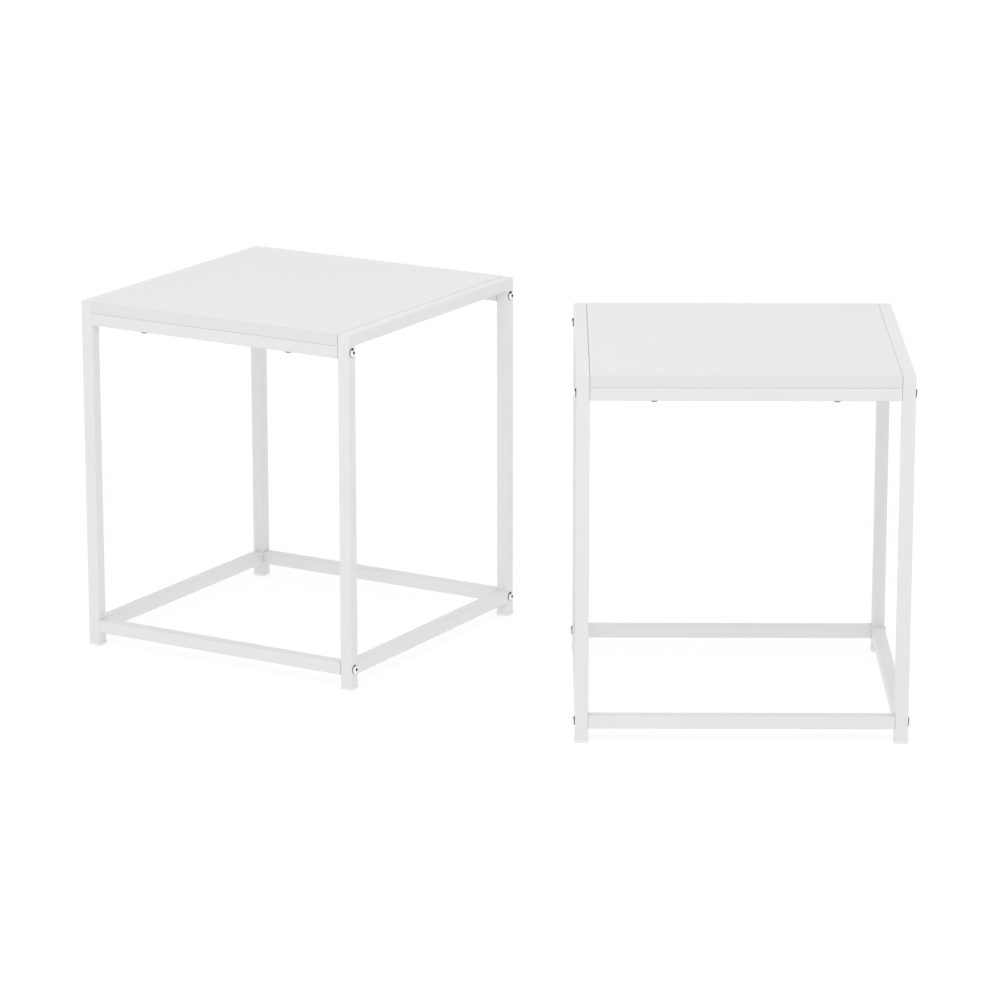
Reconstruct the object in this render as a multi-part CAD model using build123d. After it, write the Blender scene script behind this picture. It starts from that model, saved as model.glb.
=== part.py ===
from build123d import *
import os

# A pair of identical square side tables, standing side by side on one floor.
#
# Each table has two welded side frames of square steel tube, left and right. Four cross
# rails of the same tube join them, held by button-head bolts that go through the legs
# into threaded plugs in the rails' ends. A board lies between the side frames on the two
# upper cross rails, flush with the side frames' tops, and screws from below hold it.
# Plastic caps close the feet.
#
# All sizes are in millimetres. A table's own frame has its origin on the floor at the
# middle of its footprint, +X across the side frames, +Y to the rear and +Z up. The pair's
# frame has its origin on the floor at the middle of the pair's bounding box.

# The table
table_width = 400.0
table_depth = 400.0
table_height = 454.0

# Square steel tube
tube_size = 16.0
tube_wall = 1.2
tube_corner = 1.5
mitre_corner_radius = 1.2

# Rails
rail_clearance = 0.15
lower_rail_underside = 18.0

# Board and its edge bands
board_thickness = 15.0
board_side_gap = 0.2
band_thickness = 0.8
band_edge_radius = 0.3

# Bolts through the legs, and the threaded plugs that take them
bolt_diameter = 6.0
bolt_head_diameter = 11.0
bolt_head_height = 3.0
bolt_head_rim = 0.7
bolt_head_flat_diameter = 6.0
bolt_dome_radius = 5.0
bolt_socket_flats = 4.0
bolt_socket_depth = 2.0
bolt_end_chamfer = 0.7
bolt_hole_clearance = 0.25
bolt_engagement = 13.0
plug_length = 15.0
plug_clearance = 0.05
thread_clearance = 0.05

# Screws that hold the board
screw_diameter = 4.0
screw_head_diameter = 12.0
screw_head_height = 2.5
screw_head_rim = 0.5
screw_head_flat_diameter = 5.0
screw_dome_radius = 8.0
screw_recess_span = 4.4
screw_recess_width = 1.1
screw_recess_depth = 1.3
screw_point_length = 3.0
screw_cover = 4.0
screw_hole_clearance = 0.25
screw_spacing = 216.0
pilot_clearance = 0.05
pilot_extra_depth = 1.0

# Foot caps
foot_flange_overhang = 0.5
foot_flange_height = 4.0
foot_flange_corner = 2.0
foot_edge_radius = 0.8
foot_stem_height = 14.0
foot_stem_wall_gap = 1.2
foot_rib_count = 3
foot_rib_height = 1.6
foot_rib_clearance = 0.05

# The layout of the pair: the gap across between the two frames' bounding boxes, and how
# much nearer the right table stands
left_table_turn = -30.0
table_gap = 76.8
table_stagger = 283.0

# Worked out from the values above
half_width = table_width / 2
half_depth = table_depth / 2
leg_x = half_width - tube_size / 2
leg_y = half_depth - tube_size / 2
tube_bore = tube_size - 2 * tube_wall
bore_corner = max(tube_corner - tube_wall, 0.2)
board_underside = table_height - board_thickness
upper_rail_z = board_underside - tube_size / 2
lower_rail_z = lower_rail_underside + tube_size / 2
side_rail_z = table_height - tube_size / 2
cross_rail_length = table_width - 2 * tube_size - 2 * rail_clearance
board_width = table_width - 2 * tube_size - 2 * board_side_gap
screw_bite = board_thickness - screw_cover
screw_x = screw_spacing / 2
foot_flange_size = tube_size + 2 * foot_flange_overhang

sides = {"left": -1, "right": 1}
ends = {"front": -1, "rear": 1}


def square_tube(length):
    """A square tube that stands on z = 0 around the Z axis."""
    outside = RectangleRounded(tube_size, tube_size, tube_corner)
    bore = RectangleRounded(tube_bore, tube_bore, bore_corner)
    return extrude(outside - bore, length)


def tube_along_x(length):
    """A square tube along the X axis, centred on the origin."""
    return Pos(-length / 2, 0, 0) * Rot(0, 90, 0) * square_tube(length)


def tube_along_y(length):
    """A square tube along the Y axis, centred on the origin."""
    return Pos(0, -length / 2, 0) * Rot(-90, 0, 0) * square_tube(length)


def mitre_plane(end):
    """The 45 degree plane where a leg meets its upper side rail; its normal points to the rail."""
    return Plane(origin=(0, end * half_depth, table_height), z_dir=(0, -end, 1))


def ground_outline():
    """A block with the side frame's outer outline, rounded where the upper corners are ground."""
    outline = RectangleRounded(table_depth, 2 * table_height, mitre_corner_radius)
    return extrude(Plane.YZ * outline, tube_size, both=True)


def leg(side, end):
    """A leg from its foot cap to the mitre, with a bolt hole at each cross rail."""
    tube = Pos(0, end * leg_y, foot_flange_height) * square_tube(table_height - foot_flange_height)
    tube = split(tube, bisect_by=mitre_plane(end), keep=Keep.BOTTOM) & ground_outline()
    hole = Rot(0, 90, 0) * Cylinder(bolt_diameter / 2 + bolt_hole_clearance, 2 * tube_size)
    for height in (lower_rail_z, upper_rail_z):
        tube -= Pos(0, end * leg_y, height) * hole
    return Pos(side * leg_x, 0, 0) * tube


def upper_side_rail(side):
    """The side frame's upper rail, mitred at both ends."""
    rail = Pos(0, 0, side_rail_z) * tube_along_y(table_depth)
    for end in ends.values():
        rail = split(rail, bisect_by=mitre_plane(end), keep=Keep.TOP)
    return Pos(side * leg_x, 0, 0) * (rail & ground_outline())


def lower_side_rail(side):
    """The side frame's lower rail, welded square between the legs."""
    return Pos(side * leg_x, 0, lower_rail_z) * tube_along_y(table_depth - 2 * tube_size)


def lower_cross_rail(end):
    """A lower cross rail, from one side frame to the other."""
    return Pos(0, end * leg_y, lower_rail_z) * tube_along_x(cross_rail_length)


def upper_cross_rail(end):
    """An upper cross rail, which carries the board and is drilled for its screws."""
    rail = Pos(0, 0, upper_rail_z) * tube_along_x(cross_rail_length)
    hole = Cylinder(screw_diameter / 2 + screw_hole_clearance, 2 * tube_size)
    for side in sides.values():
        rail -= Pos(side * screw_x, 0, upper_rail_z) * hole
    return Pos(0, end * leg_y, 0) * rail


def rail_plug():
    """A square threaded plug around the Z axis, its outer end on z = 0."""
    plug_size = tube_bore - 2 * plug_clearance
    outside = RectangleRounded(plug_size, plug_size, bore_corner)
    thread = Circle(bolt_diameter / 2 + thread_clearance)
    return extrude(outside - thread, -plug_length)


def domed_head(diameter, height, rim, flat_diameter, dome_radius):
    """A low domed screw head that stands on z = 0."""
    rim_point = (diameter / 2, rim)
    flat_point = (flat_diameter / 2, height)
    outline = Polyline((0, height), (0, 0), (diameter / 2, 0), rim_point)
    outline += RadiusArc(rim_point, flat_point, -dome_radius)
    outline += Line(flat_point, (0, height))
    return revolve(Plane.XZ * make_face(outline), Axis.Z)


def frame_bolt():
    """A button-head bolt, its head's underside on z = 0 and its shank along -Z."""
    shank_length = tube_size + rail_clearance + bolt_engagement
    shank = extrude(Circle(bolt_diameter / 2), -shank_length)
    shank = chamfer(shank.edges().sort_by(Axis.Z)[0], bolt_end_chamfer)
    head = domed_head(bolt_head_diameter, bolt_head_height, bolt_head_rim, bolt_head_flat_diameter,
                      bolt_dome_radius)
    socket = RegularPolygon(bolt_socket_flats / 2, 6, major_radius=False)
    socket = extrude(Pos(0, 0, bolt_head_height) * socket, -bolt_socket_depth)
    return head + shank - socket


def board_screw():
    """A low-headed wood screw, its head's underside on z = 0 and its shank along -Z."""
    shank_length = tube_size + screw_bite - screw_point_length
    shank = extrude(Circle(screw_diameter / 2), -shank_length)
    point = Cone(screw_diameter / 2, 0.4, screw_point_length, rotation=(180, 0, 0))
    point = Pos(0, 0, -shank_length - screw_point_length / 2) * point
    head = domed_head(screw_head_diameter, screw_head_height, screw_head_rim,
                      screw_head_flat_diameter, screw_dome_radius)
    recess = Box(screw_recess_span, screw_recess_width, 2 * screw_recess_depth)
    recess += Rot(0, 0, 90) * recess
    return head + shank + point - Pos(0, 0, screw_head_height) * recess


def foot_cap():
    """A foot cap that stands on z = 0, with a ribbed stem for the leg's bore."""
    flange = extrude(RectangleRounded(foot_flange_size, foot_flange_size, foot_flange_corner),
                     foot_flange_height)
    flange = fillet(flange.edges().group_by(Axis.Z)[0], foot_edge_radius)
    stem_size = tube_bore - 2 * foot_stem_wall_gap
    stem = extrude(RectangleRounded(stem_size, stem_size, foot_edge_radius), foot_stem_height)
    cap = flange + Pos(0, 0, foot_flange_height) * stem
    rib_size = tube_bore - 2 * foot_rib_clearance
    rib = extrude(RectangleRounded(rib_size, rib_size, bore_corner), foot_rib_height)
    rib_pitch = foot_stem_height / foot_rib_count
    for index in range(foot_rib_count):
        rib_z = foot_flange_height + (index + 0.5) * rib_pitch - foot_rib_height / 2
        cap += Pos(0, 0, rib_z) * rib
    return cap


def board():
    """The board's core, with a pilot hole for each screw."""
    core = Box(board_width - 2 * band_thickness, table_depth - 2 * band_thickness, board_thickness)
    core = Pos(0, 0, board_underside + board_thickness / 2) * core
    pilot_depth = screw_bite + pilot_extra_depth
    pilot = extrude(Circle(screw_diameter / 2 + pilot_clearance), pilot_depth)
    for side in sides.values():
        for end in ends.values():
            core -= Pos(side * screw_x, end * leg_y, board_underside) * pilot
    return core


def edge_band(length):
    """A strip of edge band along X whose outer face is on y = 0 and looks along -Y."""
    band = Box(length, band_thickness, board_thickness, align=(Align.CENTER, Align.MIN, Align.MIN))
    outer_edges = band.edges().filter_by(Axis.X).group_by(Axis.Y)[0]
    return Pos(0, 0, board_underside) * fillet(outer_edges, band_edge_radius)


def table():
    """One table's pieces by name, in the table's own frame; a list holds identical pieces."""
    pieces = {}
    for side_name, side in sides.items():
        for end_name, end in ends.items():
            pieces[f"{side_name}_{end_name}_leg"] = [leg(side, end)]
        pieces[f"{side_name}_upper_side_rail"] = [upper_side_rail(side)]
        pieces[f"{side_name}_lower_side_rail"] = [lower_side_rail(side)]
    for end_name, end in ends.items():
        pieces[f"{end_name}_upper_cross_rail"] = [upper_cross_rail(end)]
        pieces[f"{end_name}_lower_cross_rail"] = [lower_cross_rail(end)]

    pieces["board"] = [board()]
    long_band = Pos(0, -half_depth, 0) * edge_band(board_width)
    short_band = Pos(0, -board_width / 2, 0) * edge_band(table_depth - 2 * band_thickness)
    pieces["front_edge_band"] = [long_band]
    pieces["rear_edge_band"] = [Rot(0, 0, 180) * long_band]
    pieces["left_edge_band"] = [Rot(0, 0, -90) * short_band]
    pieces["right_edge_band"] = [Rot(0, 0, 90) * short_band]

    bolt = frame_bolt()
    plug = rail_plug()
    screw = board_screw()
    cap = foot_cap()
    bolts, plugs, screws, caps = [], [], [], []
    for side in sides.values():
        outward = Rot(0, side * 90, 0)
        for end in ends.values():
            for height in (lower_rail_z, upper_rail_z):
                bolts.append(Pos(side * half_width, end * leg_y, height) * outward * bolt)
                plugs.append(Pos(side * cross_rail_length / 2, end * leg_y, height) * outward * plug)
            screw_z = board_underside - tube_size
            screws.append(Pos(side * screw_x, end * leg_y, screw_z) * Rot(180, 0, 0) * screw)
            caps.append(Pos(side * leg_x, end * leg_y, 0) * cap)
    pieces["frame_bolts"] = bolts
    pieces["rail_plugs"] = plugs
    pieces["board_screws"] = screws
    pieces["foot_caps"] = caps
    return pieces


def placed(piece, place):
    """A piece's single solid, moved to its place in the pair."""
    return (place * piece).solid()


def pair():
    """Every node of the pair, centred on the pair's bounding box."""
    left_frame = Rot(0, 0, left_table_turn) * Box(table_width, table_depth, table_height)
    right_table_x = left_frame.bounding_box().max.X + table_gap + half_width
    places = {
        "left_table": Rot(0, 0, left_table_turn),
        "right_table": Pos(right_table_x, -table_stagger, 0),
    }
    nodes = {}
    for table_name, place in places.items():
        for piece_name, solids in table().items():
            nodes[f"{table_name}_{piece_name}"] = [placed(solid, place) for solid in solids]
    box = Compound([solid for solids in nodes.values() for solid in solids]).bounding_box()
    centring = Pos(-box.center().X, -box.center().Y, 0)
    for table_name, place in places.items():
        centre = (centring * place).position
        print(f"{table_name} centre: {centre.X:.4f}, {centre.Y:.4f}")
    print(f"size: {box.size.X:.3f} x {box.size.Y:.3f} x {box.size.Z:.3f}")
    return {name: [centring * solid for solid in solids] for name, solids in nodes.items()}


os.makedirs("parts", exist_ok=True)
for node_name, node_solids in pair().items():
    shape = node_solids[0] if len(node_solids) == 1 else Compound(node_solids)
    export_step(shape, f"parts/{node_name}.step")
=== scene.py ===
import math

import bpy
from mathutils import Matrix, Vector


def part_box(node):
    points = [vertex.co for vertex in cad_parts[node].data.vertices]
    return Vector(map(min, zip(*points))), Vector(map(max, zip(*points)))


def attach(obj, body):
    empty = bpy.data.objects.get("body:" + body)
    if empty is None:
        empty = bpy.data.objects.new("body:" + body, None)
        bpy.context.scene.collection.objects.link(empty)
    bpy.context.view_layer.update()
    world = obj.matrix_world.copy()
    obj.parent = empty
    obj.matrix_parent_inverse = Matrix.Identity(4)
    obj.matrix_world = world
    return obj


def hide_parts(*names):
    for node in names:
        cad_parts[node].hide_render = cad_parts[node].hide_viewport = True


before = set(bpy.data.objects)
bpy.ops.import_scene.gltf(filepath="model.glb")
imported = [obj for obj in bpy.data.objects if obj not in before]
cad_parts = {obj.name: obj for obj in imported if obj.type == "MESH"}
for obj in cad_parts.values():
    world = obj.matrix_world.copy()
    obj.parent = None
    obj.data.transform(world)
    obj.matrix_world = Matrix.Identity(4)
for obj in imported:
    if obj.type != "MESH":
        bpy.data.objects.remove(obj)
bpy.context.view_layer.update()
bpy.ops.object.select_all(action="DESELECT")

# Frame tubes: 16 mm square steel tube with 1.2 mm walls, in two welded side frames and four
# cross rails to each table. The steel is sprayed with white powder and baked, which leaves
# a satin skin with a fine orange peel, and a tone that drifts a little along each tube.


class Wire:
    """One output in a material's node tree. Arithmetic on a wire adds the Math node that does it."""

    def __init__(self, tree, socket=None):
        self.tree = tree
        self.socket = socket

    def node(self, kind, settings=None, inputs=None, output=0):
        """Adds a node of that kind: its settings first, then its inputs, as wires or plain values."""
        made = self.tree.nodes.new(kind)
        for name, value in (settings or {}).items():
            setattr(made, name, value)
        for name, value in (inputs or {}).items():
            if isinstance(value, Wire):
                self.tree.links.new(value.socket, made.inputs[name])
            else:
                made.inputs[name].default_value = value
        return Wire(self.tree, made.outputs[output] if made.outputs else None)

    def maths(self, operation, first, second):
        return self.node("ShaderNodeMath", {"operation": operation}, {0: first, 1: second})

    def __add__(self, other):
        return self.maths("ADD", self, other)

    def __mul__(self, other):
        return self.maths("MULTIPLY", self, other)

    __radd__ = __add__
    __rmul__ = __mul__

    def noise(self, size, detail=2.0):
        """Cloudy variation from 0 to 1 over a place, in lumps of about that size in metres."""
        inputs = {"Vector": self, "Scale": 1 / size, "Detail": detail}
        return self.node("ShaderNodeTexNoise", None, inputs)

    def shade(self, dark, light):
        """A colour from dark, where this is 0, to light, where it is 1."""
        colours = {0: self, 6: (*dark, 1), 7: (*light, 1)}
        return self.node("ShaderNodeMix", {"data_type": "RGBA"}, colours, 2)

    def relief(self, depth):
        """A surface normal that follows this height from 0 to 1, over depth metres."""
        return self.node("ShaderNodeBump", None, {"Height": self, "Distance": depth, "Strength": 1.0})


def new_material(name):
    """An empty material, and the place on the piece as the first wire of its tree."""
    material = bpy.data.materials.new(name)
    material.use_nodes = True
    material.node_tree.nodes.clear()
    return material, Wire(material.node_tree).node("ShaderNodeTexCoord", output="Object")


def surface(place, **sockets):
    """Closes a material with a Principled shader; an underscore in a socket's name is a space."""
    inputs = {name.replace("_", " "): value for name, value in sockets.items()}
    shader = place.node("ShaderNodeBsdfPrincipled", None, inputs)
    place.node("ShaderNodeOutputMaterial", None, {"Surface": shader})


def paint(node, material):
    """Gives a CAD node a material in its own slots."""
    for material_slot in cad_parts[node].material_slots:
        material_slot.material = material


orange_peel_size = 0.0011
orange_peel_depth = 0.00004
tone_drift_size = 0.06
fine_detail = 3.0
enamel, place = new_material("white_powder_coat")
peel = place.noise(orange_peel_size, fine_detail)
drift = place.noise(tone_drift_size)
surface(
    place,
    Base_Color=drift.shade((0.720, 0.735, 0.729), (0.748, 0.761, 0.755)),
    Roughness=0.30 + 0.12 * peel,
    IOR=1.5,
    Normal=peel.relief(orange_peel_depth),
)
table_names = ("left_table", "right_table")
table_sides = {"left": -1, "right": 1}
table_ends = {"front": -1, "rear": 1}
for table in table_names:
    for side in table_sides:
        for end in table_ends:
            paint(f"{table}_{side}_{end}_leg", enamel)
        paint(f"{table}_{side}_upper_side_rail", enamel)
        paint(f"{table}_{side}_lower_side_rail", enamel)
    for end in table_ends:
        paint(f"{table}_{end}_upper_cross_rail", enamel)
        paint(f"{table}_{end}_lower_cross_rail", enamel)

# Welds: the lower side rails are welded to the legs all round, and the upper side rails in
# the inner corners of their mitres. Each bead is a short run of overlapping weld pools under
# the powder coat. The beads on the frames' flat faces are ground down almost flush.

bead_length = 0.013
bead_radius = 0.0015
bead_end_radius = 0.0006
bead_pools = 9
bead_ripple = 0.07
bead_crown = 0.00015
bead_end_taper = 0.15
bead_sides = 16
bead_smooth_degrees = 75
nearly_straight = 0.9


def middle(node):
    """The middle of a CAD node's box."""
    low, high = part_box(node)
    return (low + high) / 2


def table_axes(table):
    """A table's own directions across and to the rear, from where its side frames stand."""
    across = middle(f"{table}_right_upper_side_rail") - middle(f"{table}_left_upper_side_rail")
    across.normalize()
    return across, Vector((-across.y, across.x, 0))


def copy_to(piece, name, place_of_copy):
    """A copy of a piece with a mesh of its own, moved to its place inside the mesh."""
    copied = bpy.data.objects.new(name, piece.data.copy())
    bpy.context.scene.collection.objects.link(copied)
    copied.data.transform(place_of_copy)
    return copied


def joined(pieces, name):
    """Several pieces as one, under that name."""
    bpy.ops.object.select_all(action="DESELECT")
    for piece in pieces:
        piece.select_set(True)
    bpy.context.view_layer.objects.active = pieces[0]
    bpy.ops.object.join()
    pieces[0].name = name
    pieces[0].data.name = name
    return pieces[0]


def start_edit(piece, wanted=None, kind="FACE"):
    """Opens a piece for editing, with only the wanted faces or edges selected, or none."""
    if bpy.context.mode == "EDIT_MESH":
        bpy.ops.object.mode_set(mode="OBJECT")
    bpy.ops.object.select_all(action="DESELECT")
    piece.select_set(True)
    bpy.context.view_layer.objects.active = piece
    bpy.ops.object.mode_set(mode="EDIT")
    bpy.ops.mesh.select_mode(type=kind)
    bpy.ops.mesh.select_all(action="DESELECT")
    bpy.ops.object.mode_set(mode="OBJECT")
    for part in piece.data.polygons if kind == "FACE" else piece.data.edges:
        part.select = bool(wanted and wanted(part))
    bpy.ops.object.mode_set(mode="EDIT")


def looks_up(face):
    """Whether a face lies level and looks up."""
    return face.normal.z > nearly_straight


def looks_down(face):
    """Whether a face lies level and looks down."""
    return face.normal.z < -nearly_straight


def edge_ends(piece, edge):
    """The two ends of an edge."""
    return [piece.data.vertices[corner].co for corner in edge.vertices]


def edge_along(piece, edge):
    """An edge's direction."""
    first, second = edge_ends(piece, edge)
    return (second - first).normalized()


def edge_height(piece, edge):
    """The height of an edge's higher end."""
    return max(corner.z for corner in edge_ends(piece, edge))


def follow(outline):
    """Extrudes the selected face along an outline of radius and height, from its first point."""
    for (radius, height), (next_radius, next_height) in zip(outline, outline[1:]):
        step = (0, 0, next_height - height)
        factor = next_radius / radius
        bpy.ops.mesh.extrude_region_move(TRANSFORM_OT_translate={"value": step})
        bpy.ops.transform.resize(value=(factor, factor, 1), center_override=(0, 0, 0))


def end_edit(piece, smooth_degrees):
    """Closes a piece with its place in its mesh, smooth but where faces meet more sharply."""
    bpy.ops.object.mode_set(mode="OBJECT")
    bpy.ops.object.transform_apply(location=True, rotation=True, scale=True)
    bpy.ops.object.shade_smooth_by_angle(angle=math.radians(smooth_degrees))


bead_rings = 2 * bead_pools
bead_slice = bead_length / bead_rings
bead_outline = [(bead_end_radius, 0)]
for ring in range(1, bead_rings):
    taper = min(1.0, 1 - bead_end_taper * (2 - min(ring, bead_rings - ring)))
    ripple = 1 + bead_ripple * (-1) ** ring
    bead_outline.append((bead_radius * taper * ripple, ring * bead_slice))
bead_outline.append((bead_end_radius, bead_length))
bpy.ops.mesh.primitive_cylinder_add(
    vertices=bead_sides,
    radius=bead_end_radius,
    depth=bead_slice,
    location=(0, 0, -bead_length / 2),
)
bead = bpy.context.object
start_edit(bead, looks_up)
follow(bead_outline)
end_edit(bead, bead_smooth_degrees)

rail_low, rail_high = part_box("right_table_front_lower_cross_rail")
tube_size = rail_high.z - rail_low.z
up = Vector((0, 0, 1))


def stood(spot, along, beside):
    """The place of a piece drawn upright on the origin, with its Z axis along and its Y beside."""
    return Matrix.Translation(spot) @ Matrix((beside.cross(along), beside, along)).transposed().to_4x4()


for table in table_names:
    across, rearward = table_axes(table)
    for side in table_sides:
        beads = []
        for end, way in table_ends.items():
            joint = middle(f"{table}_{side}_{end}_leg") - rearward * way * tube_size / 2
            joint.z = middle(f"{table}_{side}_lower_side_rail").z
            for above in (-1, 1):
                seam = joint + up * above * tube_size / 2
                beads.append(copy_to(bead, "bead", stood(seam, across, rearward)))
            for outward in (-1, 1):
                seam = joint + across * outward * (tube_size / 2 + bead_crown - bead_radius)
                beads.append(copy_to(bead, "bead", stood(seam, up, rearward)))
            joint.z = middle(f"{table}_{side}_upper_side_rail").z - tube_size / 2
            beads.append(copy_to(bead, "bead", stood(joint, across, rearward)))
        welds = joined(beads, f"{table}_{side}_frame_welds")
        welds.data.materials.append(enamel)
        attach(welds, table)
bpy.data.objects.remove(bead)

# Rail plugs: square threaded plugs of plain zinc-plated steel, pressed into the ends of the
# cross rails. They stay hidden in the tubes, and the frame bolts screw into them.

spangle_size = 0.0015
spangle_depth = 0.00001
zinc, place = new_material("zinc_plate")
spangle = place.noise(spangle_size)
surface(
    place,
    Base_Color=spangle.shade((0.52, 0.53, 0.55), (0.60, 0.61, 0.62)),
    Metallic=1.0,
    Roughness=0.32 + 0.14 * spangle,
    Normal=spangle.relief(spangle_depth),
)
for table in table_names:
    paint(f"{table}_rail_plugs", zinc)

# Frame bolts: nickel-plated steel button heads with a hexagon socket, eight to each table.
# Each goes in through a leg and screws into a rail's plug. The heads are turned and bright.
# The sockets are painted near-black as painted shade, and each head's rim is painted dark as
# the painted shadow where the head meets the leg.

bolt_head_radius = 0.0055
bolt_head_height = 0.003
bolt_head_rim = 0.0007
bolt_flat_radius = 0.003
bolt_dome_radius = 0.005
bolt_socket_flats = 0.004
bolt_socket_depth = 0.002
bolt_shank_radius = 0.003
bolt_plain_length = 0.0165
bolt_length = 0.02915
bolt_end_chamfer = 0.0007
bolt_thread_pitch = 0.001
bolt_thread_height = 0.0006
bolt_edge_bevel = 0.00012
bolt_rim_shadow_height = 0.0011
head_sides = 48
head_sharp_degrees = 20
dome_steps = 8
thread_steps = 24
thread_sink = 0.2
thread_land = 0.15
thread_smooth_degrees = 25
edge_bevel_steps = 2
socket_sides = 6
socket_tip_taper = 8
socket_cone_depth = 0.0005


def dome(rim_radius, rim_height, flat_radius, flat_height, curve_radius):
    """The outline of a head's dome, as an arc from its rim up to its flat."""
    rim = Vector((rim_radius, rim_height))
    flat = Vector((flat_radius, flat_height))
    chord = flat - rim
    inward = Vector((-chord.y, chord.x)).normalized()
    centre = (rim + flat) / 2 + inward * math.sqrt(curve_radius**2 - chord.length_squared / 4)
    first = math.atan2(rim.y - centre.y, rim.x - centre.x)
    last = math.atan2(flat.y - centre.y, flat.x - centre.x)
    outline = []
    for step in range(dome_steps + 1):
        turn = first + (last - first) * step / dome_steps
        radius = centre.x + curve_radius * math.cos(turn)
        height = centre.y + curve_radius * math.sin(turn)
        outline.append((radius, height))
    return outline


def modify(piece, kind, **settings):
    """Adds a modifier with those settings and applies it."""
    modifier = piece.modifiers.new(kind.lower(), kind)
    for name, value in settings.items():
        setattr(modifier, name, value)
    bpy.context.view_layer.objects.active = piece
    bpy.ops.object.modifier_apply(modifier=modifier.name)


def thread(crest_radius, height, pitch, top, length):
    """A thread's ridge round the Z axis, as a closed coil whose foot is sunk into the shank."""
    triangle_height = 1.5
    triangle_width = math.sqrt(3)
    ridge_radius = height * (1 + thread_sink) / triangle_height
    bpy.ops.mesh.primitive_circle_add(
        vertices=3,
        radius=ridge_radius,
        location=(crest_radius - ridge_radius, 0, top),
        rotation=(math.pi / 2, math.pi / 2, 0),
    )
    ridge = bpy.context.object
    ridge.scale.x = (1 - thread_land) * pitch / (triangle_width * ridge_radius)
    bpy.ops.object.transform_apply(location=True, rotation=True, scale=True)
    modify(
        ridge,
        "SCREW",
        axis="Z",
        angle=2 * math.pi,
        screw_offset=-pitch,
        iterations=round(length / pitch),
        steps=thread_steps,
        render_steps=thread_steps,
    )
    start_edit(ridge)
    bpy.ops.mesh.select_all(action="SELECT")
    bpy.ops.mesh.fill_holes(sides=3)
    bpy.ops.mesh.select_all(action="SELECT")
    bpy.ops.mesh.normals_make_consistent(inside=False)
    bpy.ops.object.mode_set(mode="OBJECT")
    return ridge


def head(radius, rim, flat_radius, height, dome_radius):
    """A domed head that stands on the origin, before its recess and shank."""
    bpy.ops.mesh.primitive_cylinder_add(
        vertices=head_sides,
        radius=radius,
        depth=rim,
        location=(0, 0, rim / 2),
    )
    piece = bpy.context.object
    start_edit(piece, looks_up)
    follow(dome(radius, rim, flat_radius, height, dome_radius))
    return piece


def sharpened(piece, bevel, thread_ridge, name):
    """A screw with its sharp edges broken by a small bevel, and its thread's ridge joined on."""
    modify(
        piece,
        "BEVEL",
        width=bevel,
        segments=edge_bevel_steps,
        limit_method="ANGLE",
        angle_limit=math.radians(head_sharp_degrees),
    )
    piece = joined([piece, thread_ridge], name)
    bpy.ops.object.shade_smooth_by_angle(angle=math.radians(thread_smooth_degrees))
    return piece


bolt_core_radius = bolt_shank_radius - bolt_thread_height
bolt = head(bolt_head_radius, bolt_head_rim, bolt_flat_radius, bolt_head_height, bolt_dome_radius)
start_edit(bolt, looks_down)
follow([
    (bolt_head_radius, 0),
    (bolt_shank_radius, 0),
    (bolt_shank_radius, -bolt_plain_length),
    (bolt_core_radius, -bolt_plain_length - bolt_thread_height),
    (bolt_core_radius, bolt_end_chamfer - bolt_length),
    (bolt_core_radius - bolt_end_chamfer, -bolt_length),
])
end_edit(bolt, head_sharp_degrees)
socket_corner_radius = bolt_socket_flats / 2 / math.cos(math.pi / socket_sides)
bpy.ops.mesh.primitive_cylinder_add(
    vertices=socket_sides,
    radius=socket_corner_radius,
    depth=2 * bolt_socket_depth,
    location=(0, 0, bolt_head_height),
)
socket = bpy.context.object
start_edit(socket, looks_down)
follow([(socket_corner_radius, 0), (socket_corner_radius / socket_tip_taper, -socket_cone_depth)])
end_edit(socket, head_sharp_degrees)
modify(bolt, "BOOLEAN", operation="DIFFERENCE", object=socket, solver="EXACT")
bpy.data.objects.remove(socket)
thread_top = -bolt_plain_length - bolt_thread_height
threaded_length = bolt_length + thread_top - bolt_end_chamfer
ridge = thread(bolt_shank_radius, bolt_thread_height, bolt_thread_pitch, thread_top, threaded_length)
bolt = sharpened(bolt, bolt_edge_bevel, ridge, "bolt")

haze_size = 0.0006
haze_depth = 0.000004
nickel, place = new_material("nickel_plate")
haze = place.noise(haze_size, fine_detail)
surface(
    place,
    Base_Color=haze.shade((0.93, 0.92, 0.91), (0.97, 0.965, 0.96)),
    Metallic=1.0,
    Roughness=0.07 + 0.08 * haze,
    Normal=haze.relief(haze_depth),
)
# Painted shade: near-black steel for the socket and recess faces, standing for the shade inside them.
recess_shade_mottle_size = 0.0008
recess_shade_mottle_depth = 0.00001
recess_shade_paint, place = new_material("recess_painted_shade")
recess_shade_mottle = place.noise(recess_shade_mottle_size, fine_detail)
surface(
    place,
    Base_Color=recess_shade_mottle.shade((0.006, 0.006, 0.007), (0.014, 0.014, 0.015)),
    Metallic=1.0,
    Roughness=0.45 + 0.2 * recess_shade_mottle,
    Normal=recess_shade_mottle.relief(recess_shade_mottle_depth),
)
# Painted shadow: dark steel for the head's rim, standing for the shadow line where the head meets the
# leg.
rim_shadow_mottle_size = 0.0005
rim_shadow_mottle_depth = 0.000006
rim_shadow_paint, place = new_material("rim_painted_shadow")
rim_shadow_mottle = place.noise(rim_shadow_mottle_size, fine_detail)
surface(
    place,
    Base_Color=rim_shadow_mottle.shade((0.035, 0.035, 0.038), (0.065, 0.065, 0.069)),
    Metallic=1.0,
    Roughness=0.35 + 0.15 * rim_shadow_mottle,
    Normal=rim_shadow_mottle.relief(rim_shadow_mottle_depth),
)


rim_share = 0.9
recess_edge = 0.00005


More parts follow.
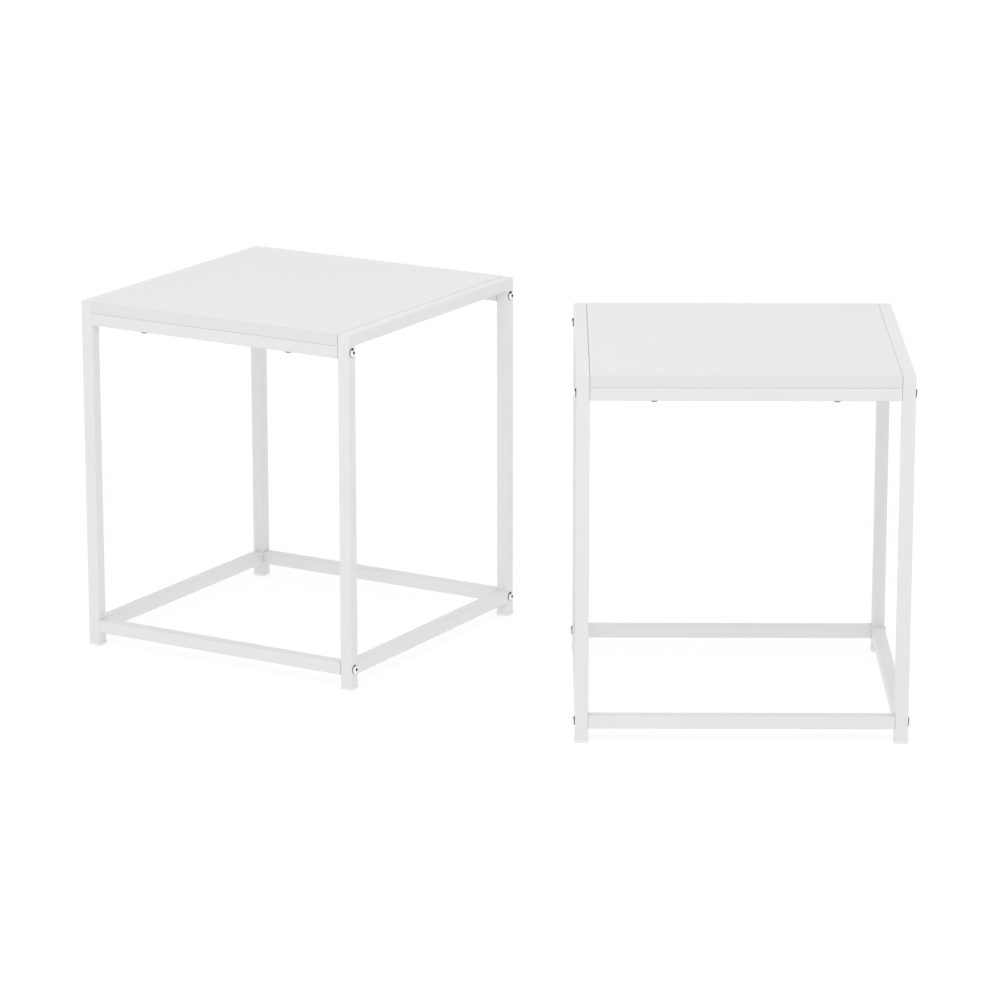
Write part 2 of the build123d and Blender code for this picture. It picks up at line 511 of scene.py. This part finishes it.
def plate(piece, plating, recess_radius, head_radius, head_height, rim_height):
    """Plates a screw, paints its recess near-black as painted shade, and paints its head's rim dark as
    a painted shadow line.
    """
    piece.data.materials.append(plating)
    piece.data.materials.append(recess_shade_paint)
    piece.data.materials.append(rim_shadow_paint)
    for face in piece.data.polygons:
        radius = face.center.xy.length
        if radius < recess_radius and 0 < face.center.z < head_height - recess_edge:
            face.material_index = 1
        elif radius > rim_share * head_radius and 0 < face.center.z < rim_height:
            face.material_index = 2


plate(bolt, nickel, socket_corner_radius, bolt_head_radius, bolt_head_height, bolt_rim_shadow_height)
turn_between_screws = math.radians(25)
screws_driven = 0
for table in table_names:
    across, rearward = table_axes(table)
    for side, outward in table_sides.items():
        for end in table_ends:
            for level in ("lower", "upper"):
                spot = middle(f"{table}_{side}_{end}_leg") + across * outward * tube_size / 2
                spot.z = middle(f"{table}_{end}_{level}_cross_rail").z
                screws_driven += 1
                turned = Matrix.Rotation(screws_driven * turn_between_screws, 4, "Z")
                driven = stood(spot, across * outward, rearward) @ turned
                placed = copy_to(bolt, f"{table}_{side}_{end}_{level}_bolt", driven)
                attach(placed, table)
                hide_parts(f"{table}_frame_bolts")
bpy.data.objects.remove(bolt)

# Board: 15 mm particle board, faced top and bottom with warm white melamine that has a fine
# pebbled print. It rests on the upper cross rails between the side frames.

pebble_size = 0.0007
pebble_depth = 0.00003
print_cloud_size = 0.09
laminate, place = new_material("white_melamine")
pebble = place.noise(pebble_size)
cloud = place.noise(print_cloud_size)
surface(
    place,
    Base_Color=cloud.shade((0.751, 0.740, 0.727), (0.764, 0.753, 0.740)),
    Roughness=0.40 + 0.10 * pebble,
    IOR=1.5,
    Normal=pebble.relief(pebble_depth),
)
for table in table_names:
    paint(f"{table}_board", laminate)

# Edge bands: 0.8 mm strips of white plastic, glued round the board's four edges and scraped
# to a small radius. They are a little smoother and cooler than the melamine.

scrape_size = 0.0015
scrape_depth = 0.00002
band_cloud_size = 0.05
band_plastic, place = new_material("white_edge_band")
scrape = place.noise(scrape_size)
cloud = place.noise(band_cloud_size)
surface(
    place,
    Base_Color=cloud.shade((0.704, 0.704, 0.708), (0.718, 0.718, 0.722)),
    Roughness=0.34 + 0.10 * scrape,
    IOR=1.5,
    Normal=scrape.relief(scrape_depth),
)
for table in table_names:
    for edge in ("front", "rear", "left", "right"):
        paint(f"{table}_{edge}_edge_band", band_plastic)

# Board screws: low-headed wood screws in dull grey zinc, with a cross recess, four to each
# table. They come up from below through the upper cross rails and bite into the board.

screw_head_radius = 0.006
screw_head_height = 0.0025
screw_head_rim = 0.0005
screw_flat_radius = 0.0025
screw_dome_radius = 0.008
screw_recess_span = 0.0044
screw_recess_width = 0.0011
screw_recess_depth = 0.0013
screw_radius = 0.002
screw_core_radius = 0.0013
screw_plain_length = 0.0155
screw_length = 0.027
screw_point_length = 0.003
screw_point_radius = 0.0002
screw_thread_pitch = 0.0016
screw_edge_bevel = 0.0001
screw_recess_taper = 0.5

screw = head(screw_head_radius, screw_head_rim, screw_flat_radius, screw_head_height, screw_dome_radius)
start_edit(screw, looks_down)
follow([
    (screw_head_radius, 0),
    (screw_radius, 0),
    (screw_radius, -screw_plain_length),
    (screw_core_radius, screw_core_radius - screw_radius - screw_plain_length),
    (screw_core_radius, screw_point_length - screw_length),
    (screw_point_radius, -screw_length),
])
end_edit(screw, head_sharp_degrees)
for recess_turn in (0, math.pi / 2):
    bpy.ops.mesh.primitive_cube_add(
        size=1,
        location=(0, 0, screw_head_height),
        rotation=(0, 0, recess_turn),
    )
    blade = bpy.context.object
    blade.scale = (screw_recess_span, screw_recess_width, 2 * screw_recess_depth)
    start_edit(blade, looks_down)
    bpy.ops.transform.resize(
        value=(screw_recess_taper, screw_recess_taper, 1),
        center_override=(0, 0, screw_head_height),
    )
    end_edit(blade, head_sharp_degrees)
    modify(screw, "BOOLEAN", operation="DIFFERENCE", object=blade, solver="EXACT")
    bpy.data.objects.remove(blade)
screw_thread_height = screw_radius - screw_core_radius
thread_top = -screw_plain_length - screw_thread_height
threaded_length = screw_length + thread_top - screw_point_length
ridge = thread(screw_radius, screw_thread_height, screw_thread_pitch, thread_top, threaded_length)
screw = sharpened(screw, screw_edge_bevel, ridge, "screw")

bloom_size = 0.0007
bloom_depth = 0.000006
dull_zinc, place = new_material("dull_zinc")
bloom = place.noise(bloom_size, fine_detail)
surface(
    place,
    Base_Color=bloom.shade((0.17, 0.17, 0.175), (0.25, 0.25, 0.255)),
    Metallic=1.0,
    Roughness=0.28 + 0.15 * bloom,
    Normal=bloom.relief(bloom_depth),
)
# The screw's cross recess gets the same painted shade, and its head's rim the same painted shadow.
plate(screw, dull_zinc, screw_recess_span / 2, screw_head_radius, screw_head_height, screw_head_rim)

screws_low, screws_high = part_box("right_table_board_screws")
screw_reach = (screws_high.x - screws_low.x) / 2 - screw_head_radius
for table in table_names:
    across, rearward = table_axes(table)
    for side, outward in table_sides.items():
        for end in table_ends:
            spot = middle(f"{table}_{end}_upper_cross_rail") + across * outward * screw_reach
            spot.z -= tube_size / 2
            screws_driven += 1
            turned = Matrix.Rotation(screws_driven * turn_between_screws, 4, "Z")
            driven = stood(spot, -up, rearward) @ turned
            placed = copy_to(screw, f"{table}_{side}_{end}_board_screw", driven)
            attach(placed, table)
            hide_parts(f"{table}_board_screws")
bpy.data.objects.remove(screw)

# Foot caps: white polypropylene mouldings that close the legs and stand on the floor. A
# square flange shows below each leg, and a ribbed stem grips the inside of the tube.

cap_size = 0.017
cap_height = 0.004
cap_corner = 0.002
cap_edge = 0.0008
cap_stem_size = 0.0112
cap_stem_height = 0.014
cap_rib_size = 0.0135
cap_rib_height = 0.0016
cap_ribs = 3
cap_hollow_size = 0.0115
cap_hollow_depth = 0.0008
cap_hollow_taper = 0.96
cap_corner_steps = 8
cap_edge_steps = 5
cap_sharp_degrees = 30

bpy.ops.mesh.primitive_cube_add(size=1, location=(0, 0, cap_height / 2))
cap = bpy.context.object
cap.scale = (cap_size, cap_size, cap_height)
start_edit(cap)
end_edit(cap, cap_sharp_degrees)
start_edit(cap, lambda edge: abs(edge_along(cap, edge).z) > nearly_straight, "EDGE")
bpy.ops.mesh.bevel(offset=cap_corner, segments=cap_corner_steps, affect="EDGES")
end_edit(cap, cap_sharp_degrees)
start_edit(cap, lambda edge: edge_height(cap, edge) < cap_edge / 2, "EDGE")
bpy.ops.mesh.bevel(offset=cap_edge, segments=cap_edge_steps, affect="EDGES")
end_edit(cap, cap_sharp_degrees)
stem_outline = [(cap_size, cap_height), (cap_stem_size, cap_height)]
rib_pitch = cap_stem_height / cap_ribs
for rib in range(cap_ribs):
    rib_middle = cap_height + (rib + 0.5) * rib_pitch
    rib_edge = cap_rib_height / 2
    stem_outline += [
        (cap_stem_size, rib_middle - rib_edge),
        (cap_rib_size, rib_middle - rib_edge / 2),
        (cap_rib_size, rib_middle + rib_edge / 2),
        (cap_stem_size, rib_middle + rib_edge),
    ]
stem_outline.append((cap_stem_size, cap_height + cap_stem_height))
start_edit(cap, looks_up)
follow(stem_outline)
start_edit(cap, looks_down)
hollow_start = cap_size - 2 * cap_edge
follow([
    (hollow_start, 0),
    (cap_hollow_size, 0),
    (cap_hollow_size * cap_hollow_taper, cap_hollow_depth),
])
end_edit(cap, cap_sharp_degrees)

spark_size = 0.0005
spark_depth = 0.00002
flow_size = 0.004
cap_plastic, place = new_material("white_polypropylene")
spark = place.noise(spark_size, fine_detail)
flow = place.noise(flow_size)
surface(
    place,
    Base_Color=flow.shade((0.790, 0.785, 0.765), (0.812, 0.806, 0.786)),
    Roughness=0.45 + 0.15 * spark,
    IOR=1.49,
    Normal=spark.relief(spark_depth),
)
cap.data.materials.append(cap_plastic)
for table in table_names:
    across, rearward = table_axes(table)
    for side in table_sides:
        for end in table_ends:
            spot = middle(f"{table}_{side}_{end}_leg")
            spot.z = 0
            placed = copy_to(cap, f"{table}_{side}_{end}_foot_cap", stood(spot, up, rearward))
            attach(placed, table)
            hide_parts(f"{table}_foot_caps")
bpy.data.objects.remove(cap)

# Studio: a plain white floor under even white light, with a broad lamp overhead, one high in
# front and one low on the left. A dark screen overhead shows only in reflections, so that the
# bolts' polish has something dark to show.

floor_size = 60
floor_tone = (0.25, 0.25, 0.25, 1)
floor_glow = 0.745
screen_size = 6
screen_stretch = 1.6
screen_spot = (0, 2.2, 3)
world_strength = 0.88
lamps_aim_at = Vector((0, 0, 0.25))
overhead_lamp_spot = (0, 0.2, 2.6)
overhead_lamp_size = 2.4
overhead_lamp_power = 13
front_lamp_spot = (0, -2.2, 2.4)
front_lamp_size = 0.9
front_lamp_power = 13
left_lamp_spot = (-2.8, -2.0, 1.3)
left_lamp_size = 1.6
left_lamp_power = 4
camera_spot = (0.0615, -5.5364, 1.6641)
camera_tilt = math.radians(75.21)
camera_turn = math.radians(0.457)
camera_lens = 162.1
camera_reach = 100

bpy.ops.mesh.primitive_plane_add(size=floor_size)
floor = bpy.context.object
floor.name = "floor"
floor_white, place = new_material("floor_white")
surface(
    place,
    Base_Color=floor_tone,
    Roughness=0.8,
    Emission_Color=(1, 1, 1, 1),
    Emission_Strength=floor_glow,
)
floor.data.materials.append(floor_white)

bpy.ops.mesh.primitive_plane_add(size=screen_size, location=screen_spot)
screen = bpy.context.object
screen.name = "dark_screen"
screen.scale.x = screen_stretch
screen_black, place = new_material("screen_black")
surface(place, Base_Color=(0.01, 0.01, 0.01, 1), Roughness=1.0)
screen.data.materials.append(screen_black)
screen.visible_camera = False
screen.visible_diffuse = False
screen.visible_transmission = False
screen.visible_shadow = False


def softbox(name, spot, size, power):
    """A square lamp that faces the tables."""
    bpy.ops.object.light_add(type="AREA", location=spot)
    lamp = bpy.context.object
    lamp.name = name
    lamp.rotation_mode = "QUATERNION"
    lamp.rotation_quaternion = (lamps_aim_at - Vector(spot)).to_track_quat("-Z", "Y")
    lamp.data.size = size
    lamp.data.energy = power
    return lamp


overhead_lamp = softbox("overhead_lamp", overhead_lamp_spot, overhead_lamp_size, overhead_lamp_power)
overhead_lamp.visible_glossy = False
softbox("front_lamp", front_lamp_spot, front_lamp_size, front_lamp_power)
softbox("left_lamp", left_lamp_spot, left_lamp_size, left_lamp_power)

world = bpy.data.worlds.new("studio")
bpy.context.scene.world = world
world.use_nodes = True
background = world.node_tree.nodes["Background"]
background.inputs["Color"].default_value = (1, 1, 1, 1)
background.inputs["Strength"].default_value = world_strength
bpy.context.scene.view_settings.view_transform = "Standard"

bpy.ops.object.camera_add(location=camera_spot, rotation=(camera_tilt, 0, camera_turn))
camera = bpy.context.object
camera.data.lens = camera_lens
camera.data.clip_end = camera_reach
bpy.context.scene.camera = camera
